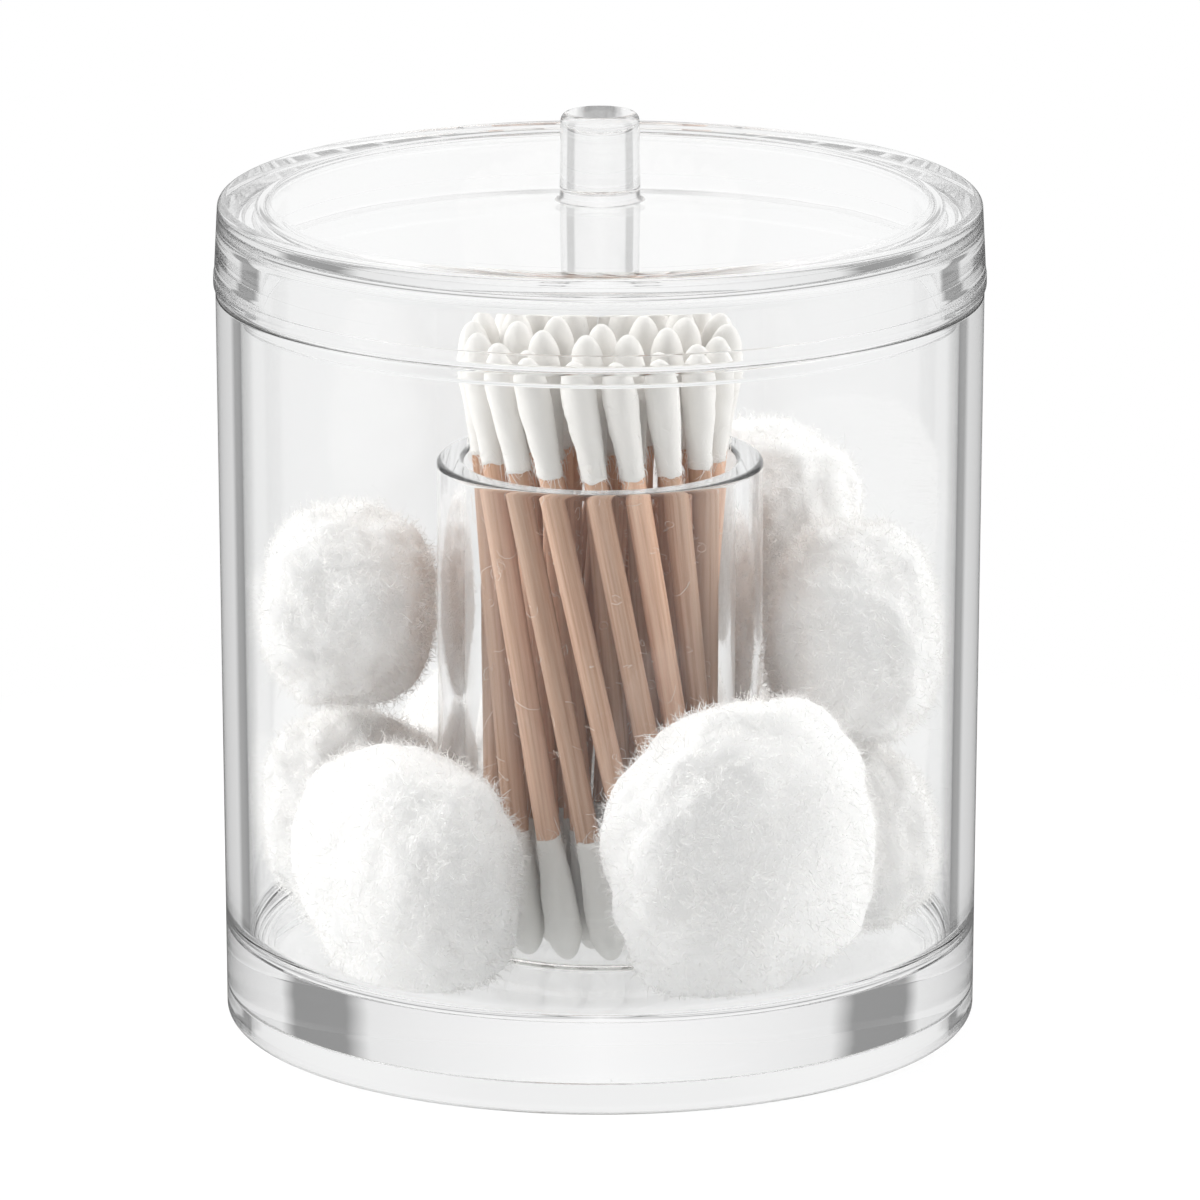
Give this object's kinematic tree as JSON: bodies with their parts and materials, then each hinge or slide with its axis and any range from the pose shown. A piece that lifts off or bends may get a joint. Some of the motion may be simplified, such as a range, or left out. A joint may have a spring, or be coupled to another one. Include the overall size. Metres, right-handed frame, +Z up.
{
  "type": "canister",
  "caption": "Round clear jar with a knobbed lift-off lid, a centre cup of cotton swabs and loose cotton balls around it.",
  "frame": {"origin": "middle of the base, on the surface that the jar stands on", "axes": "+Z up along the axis of the jar; the camera of the picture looks along +Y, and +X is to its right"},
  "size_m": [0.0894, 0.0894, 0.1073],
  "materials": {
    "clear_acrylic": "clear, polished",
    "birch_wood": "bare, fine straight grain",
    "wound_cotton": "soft wound cotton",
    "cotton_wool": "soft, fuzzy"
  },
  "bodies": {
    "jar": {"jar": "clear_acrylic", "centre_cup": "clear_acrylic", "swab_stick_01": "birch_wood", "swab_stick_02": "birch_wood", "swab_stick_03": "birch_wood", "swab_stick_04": "birch_wood", "swab_stick_05": "birch_wood", "swab_stick_06": "birch_wood", "swab_stick_07": "birch_wood", "swab_stick_08": "birch_wood", "swab_stick_09": "birch_wood", "swab_stick_10": "birch_wood", "swab_stick_11": "birch_wood", "swab_stick_12": "birch_wood", "swab_stick_13": "birch_wood", "swab_stick_14": "birch_wood", "swab_stick_15": "birch_wood", "swab_stick_16": "birch_wood", "swab_stick_17": "birch_wood", "swab_stick_18": "birch_wood", "inner_swab_sticks": "birch_wood", "swab_buds_01": "wound_cotton", "swab_buds_02": "wound_cotton", "swab_buds_03": "wound_cotton", "swab_buds_04": "wound_cotton", "swab_buds_05": "wound_cotton", "swab_buds_06": "wound_cotton", "swab_buds_07": "wound_cotton", "swab_buds_08": "wound_cotton", "swab_buds_09": "wound_cotton", "swab_buds_10": "wound_cotton", "swab_buds_11": "wound_cotton", "swab_buds_12": "wound_cotton", "swab_buds_13": "wound_cotton", "swab_buds_14": "wound_cotton", "swab_buds_15": "wound_cotton", "swab_buds_16": "wound_cotton", "swab_buds_17": "wound_cotton", "swab_buds_18": "wound_cotton", "inner_swab_buds": "wound_cotton", "cotton_ball_1": "cotton_wool", "cotton_ball_2": "cotton_wool", "cotton_ball_3": "cotton_wool", "cotton_ball_4": "cotton_wool", "cotton_ball_5": "cotton_wool", "cotton_ball_6": "cotton_wool", "cotton_ball_7": "cotton_wool", "cotton_ball_8": "cotton_wool", "cotton_ball_9": "cotton_wool"},
    "lid": {"lid": "clear_acrylic"}
  },
  "joints": [
    {"name": "lid_lift", "type": "slide", "parent": "jar", "child": "lid", "axis": [0, 0, 1], "range_m": [0, 0.06]}
  ]
}
